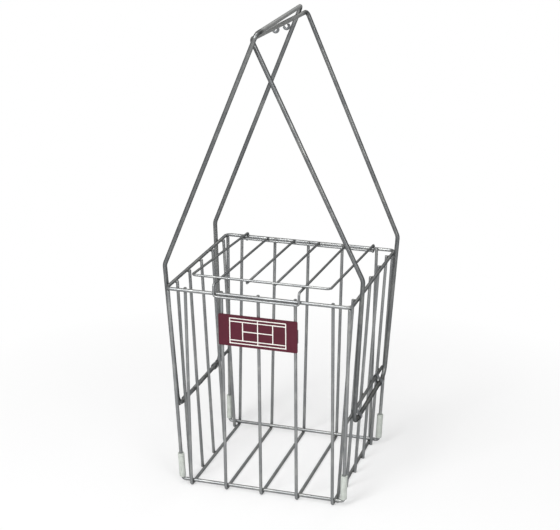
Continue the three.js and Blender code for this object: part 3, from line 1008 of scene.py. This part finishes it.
# %% [markdown]
# ## The lid's and the handles' welds
# Each moving body has beads of its own, because they swing with it: the lid at its cross wire and
# front edge, and each handle at the butt weld that closes its loop. The hooks are welded on too.

# %% List the joints of the moving bodies
thin_reach = Vector((2.3, 2.3, 1.3)) * mm
lid_joints = []


def cross_joint(across):
    """Where a lid wire lies on the rear cross wire."""
    under = on_lid(across, cross_reach, lid_level - lid_stack)
    return joint(under, on_lid(across, cross_reach, lid_level), thin_reach)


for place in (-latch_place, -inner_place, inner_place, latch_place):
    edge = on_lid(place, lid_reach, lid_level)
    lid_joints += [cross_joint(place), joint(on_inner(place, lid_reach), edge, thin_reach)]
lid_joints += [cross_joint(across) for across in (-lid_half, lid_half)]

handle_joints = {}
for name, across in sides:
    crossbar = Vector((across * crossbar_across, across * handle_stagger, pivot_height))
    handle_joints[name] = [butt(crossbar, Y, handle_wire)]
handle_joints["right"] += [(place, facing, thin_reach) for place, facing in hook_welds]

# %% [markdown]
# ## The weld material
# The beads are coloured darker than the wire, a painted shade for the shadow where wires cross,
# with patches of a deeper painted shade.

# %% The weld material and the beads
# painted shade: the darker weld colours stand for the shadow in the crossings
weld_shaded, weld_deep_shaded = shade(92, 94, 93), shade(64, 64, 62)
weld_rough = (0.48, 0.62)


def weld_finish():
    finish = Finish("weld_coat", Metallic=0.5)
    shade_patches = finish.group(patches, Patch_Size=4 * mm, Cover=0.5, Softness=0.2)
    colour = finish.mix(shade_patches, weld_shaded, weld_deep_shaded)
    colour = finish.mix(finish.group(dust, Amount=0.4), colour, dust_shade)
    height = finish.group(coat, Grain=0.6 * mm)
    return finish.end(colour, finish.rough(shade_patches, weld_rough), height, depth=0.05 * mm)


weld_coat = weld_finish()


def make_beads(name, joints, body):
    piece = path_object(name, [place for place, _, _ in joints])
    for label, column in (("facing", 1), ("reach", 2)):
        values = piece.data.attributes.new(label, "FLOAT_VECTOR", "POINT")
        values.data.foreach_set("vector", [part for row in joints for part in row[column]])
    run_tree(piece, weld_tree, Material=weld_coat)
    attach(piece, body)
    return piece


make_beads("basket_welds", basket_joints, "basket")
make_beads("lid_welds", lid_joints, "lid")
for name, joints in handle_joints.items():
    make_beads(f"{name}_handle_welds", joints, f"{name}_handle")

# %% [markdown]
# ## The pivot straps
# A handle's crossbar hangs on the belt wire in two straps of sheet steel. Each strap goes round
# both wires and is pressed together between them. It could be cut from a solid plate with two
# bores, but that would look heavy. Here its outline is two arcs and two pressed-in flanks, once
# for the inside and once for the outside, joined into a band whose edges a bevel softens. The
# helper that joins them, ring by ring, also makes the sleeves and the sign plate further on.

# %% Pivot straps
clip_width = 10 * mm
clip_thickness = 1.5 * mm
clip_press = 1.5 * mm
strap_edge = 0.4 * mm
arc_steps = 18
flank_steps = 8
merge_reach = 0.01 * mm
soft_angle = math.radians(40)


def strap_outline(first, second, margin):
    """A closed outline round two circles (across, height, radius), pressed in between them."""
    (ax, az, ar), (bx, bz, br) = first, second
    heading = math.atan2(bz - az, bx - ax)
    spread = math.acos((ar - br) / math.hypot(bx - ax, bz - az))

    def arc(circle, start, turn):
        x, z, radius = circle
        reach = radius + margin
        return [Vector((x + reach * math.cos(angle), 0, z + reach * math.sin(angle)))
                for angle in fan(start, turn, arc_steps)]

    def flank(start, end, inward):
        pressed = inward * clip_press
        return [start.lerp(end, share) + pressed * math.sin(math.pi * share) ** 2
                for share in fan(0, 1, flank_steps)[1:-1]]

    top = arc(second, heading - spread, 2 * spread)
    low = arc(first, heading + spread, 2 * (math.pi - spread))
    normal = Vector((-math.sin(heading), 0, math.cos(heading)))
    return top + flank(top[-1], low[0], -normal) + low + flank(low[-1], top[0], normal)


def ring_mesh(name, rings, closed=True):
    """A skin through rings of equally many points, closed to the first ring or capped."""
    count, last = len(rings[0]), len(rings) - 1
    caps = [range(count), reversed(range(last * count, (last + 1) * count))]
    faces = [] if closed else [tuple(cap) for cap in caps]
    for ring in range(last + 1 if closed else last):
        after = (ring + 1) % len(rings)
        for here in range(count):
            beside = (here + 1) % count
            faces.append((ring * count + here, ring * count + beside,
                          after * count + beside, after * count + here))
    mesh = bpy.data.meshes.new(name)
    mesh.from_pydata([point for ring in rings for point in ring], [], faces)
    return mesh


def outward(piece):
    """Joins doubled points and turns every face of a closed mesh outwards."""
    work = bmesh.new()
    work.from_mesh(piece.data)
    bmesh.ops.remove_doubles(work, verts=work.verts, dist=merge_reach)
    bmesh.ops.recalc_face_normals(work, faces=work.faces)
    work.to_mesh(piece.data)
    work.free()


def soften(piece, width, segments=3, angle=soft_angle):
    """Faces outwards, smooth faces and a small bevel on the edges."""
    outward(piece)
    for face in piece.data.polygons:
        face.use_smooth = True
    bevel = piece.modifiers.new("soft_edges", "BEVEL")
    bevel.width = width
    bevel.segments = segments
    bevel.limit_method = "ANGLE"
    bevel.angle_limit = angle
    bevel.harden_normals = True
    return settle(piece)


for name, across in sides:
    belt = (across * belt_across, belt_height, out(belt_wire) + tube_play)
    crossbar = (across * crossbar_across, pivot_height, out(handle_wire) + hinge_play)
    near_rings = [strap_outline(belt, crossbar, margin) for margin in (0, clip_thickness)]
    far_rings = [[point + Y * clip_width for point in ring] for ring in reversed(near_rings)]
    for end, _ in ends:
        node = f"{name}_pivot_clip_{end}"
        mesh = ring_mesh(node, near_rings + far_rings)
        mesh.transform(Matrix.Translation(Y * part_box(node)[0].y))
        strap = soften(link_mesh(f"{node}_strap", mesh), strap_edge)
        strap.data.materials.append(zinc)
        hand_over(strap, node)

# %% [markdown]
# ## The sleeves
# Soft plastic tubes are pushed on the lower legs, so that the handle legs snap past them without
# a rattle and the steel doesn't scratch. A tube is a turned shape: one profile, in radius and
# height, is turned round the leg's line. Its cut ends are slightly rounded, and the bore is real.

# %% The sleeve material
sleeve_pale = shade(201, 206, 200)
sleeve_grey = shade(178, 183, 176)
scuff_grey = shade(142, 145, 141)
sleeve_rough = (0.4, 0.5)
scuff_stretch = (1.0, 1.0, 0.12)
scuff_share, scuff_rough = 0.6, 0.2


def sleeve_finish():
    finish = Finish("pale_sleeve_plastic", IOR=1.46)
    clouds = finish.group(patches, Patch_Size=12 * mm, Cover=0.5, Softness=0.25)
    long_place = add(finish.tree, "ShaderNodeMapping",
                     {"Vector": finish.place, "Scale": scuff_stretch}).outputs[0]
    scuffs = finish.group(patches, Place=long_place, Patch_Size=1.4 * mm, Cover=0.12,
                          Softness=0.05)
    colour = finish.mix(clouds, sleeve_pale, sleeve_grey)
    colour = finish.mix(product(finish.tree, scuffs, scuff_share), colour, scuff_grey)
    rough = finish.rough(clouds, sleeve_rough, (scuffs, scuff_rough))
    return finish.end(colour, rough, finish.group(coat, Grain=1.2 * mm), depth=0.04 * mm)


sleeve_plastic = sleeve_finish()

# %% Sleeves
sleeve_wall = 2.35 * mm
sleeve_length = 48 * mm
sleeve_lip = 0.5 * mm
tube_edge = 0.1 * mm
lip_steps = 4
turn_steps = 40

leg_line = (leg_top - leg_foot).normalized()
sleeve_bore = out(frame_wire) + tube_play
sleeve_start = leg_foot + leg_line * (frame_bend + seat)


def lip_arc(radius, height, start):
    """A quarter turn of the rounded lip, from one angle on."""
    return [(radius + sleeve_lip * math.cos(angle), height + sleeve_lip * math.sin(angle))
            for angle in fan(start, math.pi / 2, lip_steps)]


outside = sleeve_bore + sleeve_wall - sleeve_lip
inside = sleeve_bore + sleeve_lip
sleeve_profile = (lip_arc(outside, sleeve_length - sleeve_lip, 0)
                  + lip_arc(inside, sleeve_length - sleeve_lip, math.pi / 2)
                  + lip_arc(inside, sleeve_lip, math.pi)
                  + lip_arc(outside, sleeve_lip, 3 * math.pi / 2))
sleeve_rings = [[(radius * math.cos(angle), radius * math.sin(angle), height)
                 for radius, height in sleeve_profile]
                for angle in fan(0, 2 * math.pi, turn_steps)[:-1]]
for end, along in ends:
    for name, across in sides:
        node = f"{end}_{name}_sleeve"
        mesh = ring_mesh(node, sleeve_rings)
        turn = Z.rotation_difference(mirrored(leg_line, across, along)).to_matrix().to_4x4()
        mesh.transform(Matrix.Translation(mirrored(sleeve_start, across, along)) @ turn)
        tube = soften(link_mesh(f"{node}_tube", mesh), tube_edge, segments=1)
        tube.data.materials.append(sleeve_plastic)
        hand_over(tube, node)
print("sleeve wall", round(sleeve_wall / mm, 2), "mm, length", round(sleeve_length / mm), "mm")

# %% [markdown]
# ## The sign plate
# The plate is one moulding that snaps on two cage wires with four walls at its back. A cube with
# rounded corners could stand for it, but its section shows at the edge: the face has a shallow
# step, and every edge has a moulded radius. So its outline is extruded in layers, the walls are
# joined to its back by a boolean, and the result is softened. The face carries no words. It has
# the plan of a court in pale lines, which is a plain sign for what the basket is used for.

# %% Sign sizes and outline
sign_past_wires = 5 * mm
sign_below_rim = 37 * mm
sign_width = 2 * (cage_pitch + sign_past_wires)
sign_height = 59 * mm
sign_thickness = 2.5 * mm
sign_corner = 2.5 * mm
sign_middle = rim_height - sign_below_rim - sign_height / 2
sign_seat = out(cage_wire) + seat
sign_border = 1.6 * mm
sign_step = 0.35 * mm
sign_edge = 0.18 * mm
sign_soft_angle = math.radians(30)
corner_steps = 8

sign_place = Vector((0, -cage_along(sign_middle), sign_middle))
sign_turn = Matrix.Translation(sign_place) @ Matrix.Rotation(cage_lean, 4, "X")


def plate_outline(inset, along):
    """The plate's outline with round corners, moved inwards, at one distance along."""
    corner = sign_corner - inset
    points = []
    for quarter, (x_sign, z_sign) in enumerate(((1, 1), (-1, 1), (-1, -1), (1, -1))):
        x = x_sign * (sign_width / 2 - inset - corner)
        z = z_sign * (sign_height / 2 - inset - corner)
        points += [Vector((x + corner * math.cos(angle), along, z + corner * math.sin(angle)))
                   for angle in fan(quarter * math.pi / 2, math.pi / 2, corner_steps)]
    return points


# %% The plate and its snap walls
snap_height = 24 * mm
snap_thickness = 1.6 * mm
snap_depth = 1.4 * mm
snap_root = 0.5 * mm
nib = 0.5 * mm

plate_front = -sign_seat - sign_thickness
step_back = plate_front + sign_step
outlines = [plate_outline(inset, along) for inset, along in (
    (0, -sign_seat), (0, step_back), (sign_step / 2, plate_front),
    (sign_border, plate_front), (sign_border + sign_step / 2, step_back))]
plate = link_mesh("sign_plate_moulding", ring_mesh("sign_plate_moulding", outlines, closed=False))


def snap_wall(across, inward):
    """One wall beside a cage wire, with a small nib that holds the wire."""
    near = across * cage_pitch + inward * sign_seat
    far = near + inward * snap_thickness
    section = [(near, -sign_seat - snap_root), (far, -sign_seat - snap_root),
               (far, snap_depth - nib), (far - inward * nib / 2, snap_depth),
               (near - inward * nib / 3, snap_depth), (near, snap_depth - 2 * nib)]
    outlines = [[Vector((x, y, z)) for x, y in section]
                for z in (-snap_height / 2, snap_height / 2)]
    wall = link_mesh("snap_wall", ring_mesh("snap_wall", outlines, closed=False))
    outward(wall)
    return wall


outward(plate)
for across in (-1, 1):
    for inward in (-1, 1):
        wall = snap_wall(across, inward)
        join = plate.modifiers.new("join", "BOOLEAN")
        join.operation = "UNION"
        join.solver = "EXACT"
        join.object = wall
        settle(plate)
        bpy.data.objects.remove(wall)
soften(plate, sign_edge, segments=2, angle=sign_soft_angle)
plate.data.transform(sign_turn)
print("sign plate:", len(plate.data.polygons), "faces")

# %% [markdown]
# ## The plate's plastic
# The maroon plastic has a soft gloss and a fine moulded grain. Balls and hands have left pale
# scuffs, most of them along the raised border. The mapping node lays the pattern upright on the
# plate, because the plate leans with the wires that carry it.

# %% The sign materials
maroon = shade(82, 17, 37)
maroon_deep = shade(72, 12, 31)
maroon_scuffed = shade(124, 68, 80)
print_pale = shade(232, 230, 224)
sign_rough, print_rough = (0.36, 0.44), (0.42, 0.6)
sign_wear = (0.2, 0.9)
sign_worn_rough = 0.25
print_worn_share = 0.55


def on_sign(finish):
    """Object coordinates laid in the plate's own plane, with its middle at 0."""
    return add(finish.tree, "ShaderNodeMapping",
               {"Vector": finish.place, "Location": sign_place, "Rotation": (cage_lean, 0, 0)},
               vector_type="TEXTURE").outputs[0]


def border_part(tree, place):
    """1 at the plate's outline, falling to 0 at the inner edge of the raised border."""
    parts = add(tree, "ShaderNodeSeparateXYZ", {0: place}).outputs
    beside = maths(tree, "SUBTRACT", sign_width / 2, maths(tree, "ABSOLUTE", parts["X"]))
    below = maths(tree, "SUBTRACT", sign_height / 2, maths(tree, "ABSOLUTE", parts["Z"]))
    return mapped(tree, maths(tree, "MINIMUM", beside, below), old=(sign_border, 0.0))


def sign_finish():
    finish = Finish("maroon_plastic", Specular_IOR_Level=0.3)
    tree, place = finish.tree, on_sign(finish)
    clouds = finish.group(patches, Place=place, Patch_Size=26 * mm, Cover=0.5, Softness=0.3)
    scuffs = finish.group(patches, Place=place, Patch_Size=2.2 * mm, Cover=0.16, Softness=0.06)
    worn = product(tree, scuffs, mapped(tree, border_part(tree, place), new=sign_wear))
    colour = finish.mix(clouds, maroon, maroon_deep)
    colour = finish.mix(worn, colour, maroon_scuffed)
    colour = finish.mix(finish.group(dust, Amount=0.08), colour, dust_shade)
    rough = finish.rough(clouds, sign_rough, (worn, sign_worn_rough))
    height = finish.group(coat, Place=place, Grain=0.5 * mm)
    return finish.end(colour, rough, height, depth=0.03 * mm)


def print_finish():
    finish = Finish("pale_print", IOR=1.48)
    place = on_sign(finish)
    worn = finish.group(patches, Place=place, Patch_Size=1.6 * mm, Cover=0.14, Softness=0.05)
    share = product(finish.tree, worn, print_worn_share)
    colour = finish.mix(share, print_pale, maroon_scuffed)
    height = finish.group(coat, Place=place, Grain=0.5 * mm)
    return finish.end(colour, finish.rough(worn, print_rough), height, depth=0.02 * mm)


plate.data.materials.append(sign_finish())
hand_over(plate, "sign_plate")

# %% [markdown]
# ## The court lines
# The lines are a thin raised print, so they are low bars on the face. Their places are a court's
# own measures, in metres, times one scale. Each line is a rectangle in the plan, and one function
# draws them all, so a change of the scale or of the line width moves every line. Where two lines
# cross, each is a hair higher than the one before, so no two faces lie in one plane.

# %% Court lines
court_length = 23.77
court_width = 10.97
alley = 1.37
service_reach = 6.40
plan_length = 102 * mm
court_scale = plan_length / court_length
line_width = 1.7 * mm
print_height = 0.2 * mm
print_sunk = sign_step / 4
print_lift = print_height / 50

half_length, half_width = court_length / 2, court_width / 2
singles = half_width - alley
court_lines = [((-half_length, z), (half_length, z))
               for z in (half_width, singles, -singles, -half_width)]
court_lines += [((x, -half_width), (x, half_width)) for x in (-half_length, half_length, 0)]
court_lines += [((x, -singles), (x, singles)) for x in (-service_reach, service_reach)]
court_lines.append(((-service_reach, 0), (service_reach, 0)))


def line_bar(work, start, end, lift):
    """A low bar along one line of the plan, sunk a little into the face."""
    start, end = Vector(start) * court_scale, Vector(end) * court_scale
    middle, span = (start + end) / 2, end - start
    size = Vector((span.x + line_width, print_height + lift + print_sunk, span.y + line_width))
    centre = Vector((middle.x, step_back + print_sunk - size.y / 2, middle.y))
    matrix = Matrix.Translation(centre) @ Matrix.Diagonal((*size, 1))
    bmesh.ops.create_cube(work, size=1, matrix=matrix)


lines_work = bmesh.new()
for index, (start, end) in enumerate(court_lines):
    line_bar(lines_work, start, end, index * print_lift)
lines_mesh = bpy.data.meshes.new("sign_court_lines")
lines_work.to_mesh(lines_mesh)
lines_work.free()
lines_mesh.transform(sign_turn)
lines = link_mesh("sign_court_lines", lines_mesh)
lines_mesh.materials.append(print_finish())
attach(lines, "basket")
print("court is", round(plan_length / mm), "mm long on the plate with", len(court_lines), "lines")

# %% [markdown]
# ## The stage
# The floor and the air are plain and pale, as in a catalogue picture. The background should look
# white, and the object should still be lit at a plain level. So the world is white where the
# camera looks and dimmer where it lights the object and shows in it. The floor glows white for
# the camera. Near the object a share of its lit colour is mixed in, which keeps the soft shadow.

# %% World and floor
air_light = 0.24
floor_reach = 14
floor_tone = (0.9, 0.9, 0.9, 1)
shadow_share = 0.5
shadow_edges = (0.25, 0.9)
white = (1, 1, 1, 1)
mirrored_share = 0.35


def looked_at(tree):
    """1 where the camera looks, a share of it in metal and gloss, 0 for all other light."""
    ray = add(tree, "ShaderNodeLightPath").outputs
    straight = maths(tree, "MAXIMUM", ray["Is Camera Ray"], ray["Is Transmission Ray"])
    return maths(tree, "MAXIMUM", straight, product(tree, ray["Is Glossy Ray"], mirrored_share))


world = bpy.data.worlds.new("studio_air")
bpy.context.scene.world = world
world.use_nodes = True
sky = world.node_tree
sky.nodes.clear()
strength = mapped(sky, looked_at(sky), new=(air_light, 1.0))
air = add(sky, "ShaderNodeBackground", {"Color": white, "Strength": strength})
add(sky, "ShaderNodeOutputWorld", {"Surface": air.outputs[0]})


def floor_finish():
    material = bpy.data.materials.new("studio_floor")
    material.use_nodes = True
    tree = material.node_tree
    tree.nodes.clear()
    lit = add(tree, "ShaderNodeBsdfDiffuse", {"Color": floor_tone})
    glow = add(tree, "ShaderNodeEmission", {"Color": white, "Strength": 1.0})
    place = add(tree, "ShaderNodeTexCoord").outputs["Object"]
    away = add(tree, "ShaderNodeVectorMath", {0: place}, operation="LENGTH").outputs["Value"]
    glowing = mapped(tree, away, shadow_edges, (1 - shadow_share, 1.0))
    share = product(tree, looked_at(tree), glowing)
    both = add(tree, "ShaderNodeMixShader", {0: share, 1: lit.outputs[0], 2: glow.outputs[0]})
    add(tree, "ShaderNodeOutputMaterial", {"Surface": both.outputs[0]})
    return material


floor_mesh = bpy.data.meshes.new("studio_floor")
floor_height = floor_level - cage_wire / 2
floor_corners = [(floor_reach * x, floor_reach * y, floor_height)
                 for x, y in ((-1, -1), (1, -1), (1, 1), (-1, 1))]
floor_mesh.from_pydata(floor_corners, [], [(0, 1, 2, 3)])
floor_mesh.materials.append(floor_finish())
floor = link_mesh("studio_floor", floor_mesh)

# %% [markdown]
# ## The lamps
# Three large soft lamps in front and above give the round wires a bright middle and dark edges. A
# weaker one behind shows along the wires that run back. Their power is set so that, with the air,
# a colour shows about as it is written.

# %% Lamps
aim = Vector((0, 0, rim_height))


def soft_lamp(name, place, size, power):
    lamp = bpy.data.objects.new(name, bpy.data.lights.new(name, "AREA"))
    lamp.data.energy = power
    lamp.data.size = size
    lamp.location = place
    lamp.rotation_mode = "QUATERNION"
    lamp.rotation_quaternion = (aim - lamp.location).to_track_quat("-Z", "Y")
    bpy.context.scene.collection.objects.link(lamp)
    return lamp


soft_lamp("key_lamp", Vector((-0.9, -2.6, 2.3)), size=1.0, power=72)
soft_lamp("fill_lamp", Vector((1.9, -2.3, 1.5)), size=1.0, power=26)
soft_lamp("top_lamp", Vector((0.1, -0.7, 3.0)), size=1.4, power=30)
soft_lamp("back_lamp", Vector((0.4, 2.4, 2.6)), size=1.4, power=14)
bpy.context.scene.view_settings.view_transform = "Standard"
